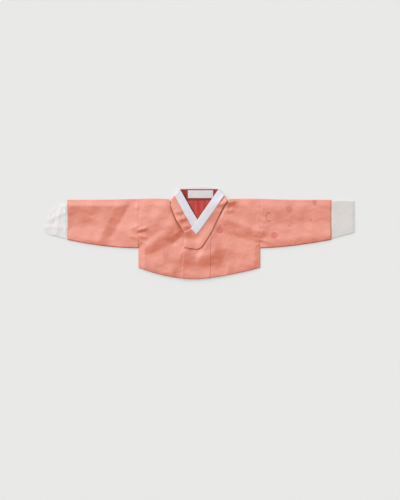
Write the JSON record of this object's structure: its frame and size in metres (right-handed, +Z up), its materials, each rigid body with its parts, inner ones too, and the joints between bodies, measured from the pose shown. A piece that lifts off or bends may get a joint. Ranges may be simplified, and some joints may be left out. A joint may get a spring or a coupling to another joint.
{
  "type": "korean hanbok jacket",
  "caption": "Small child's jeogori laid flat, front up: crossed fronts, banded collar with a white strip, straight sleeves with sheer white cuffs, open neck.",
  "frame": {"origin": "middle of the jacket's footprint, on the surface that it lies on", "axes": "+X to the right seen from above, along the sleeves; +Y towards the neck; +Z up, out of the front of the jacket"},
  "size_m": [0.712, 0.2113, 0.0099],
  "materials": {
    "silk_coral": "coral satin damask with small darker roundels and sprigs",
    "strip_white": "crisp smooth white",
    "cuff_white": "thin matt white, fine plain weave",
    "lining_red": "deep red lining silk",
    "label_white": "bare woven label"
  },
  "bodies": {
    "root": {"body_left": "silk_coral", "body_right": "silk_coral", "sleeve_left": "silk_coral", "sleeve_right": "silk_coral", "overlap_inner": "silk_coral", "overlap_outer": "silk_coral", "collar": "silk_coral", "collar_strip": "strip_white", "cuff_left": "cuff_white", "cuff_right": "cuff_white", "lining_back": "lining_red", "label": "label_white"}
  },
  "joints": []
}
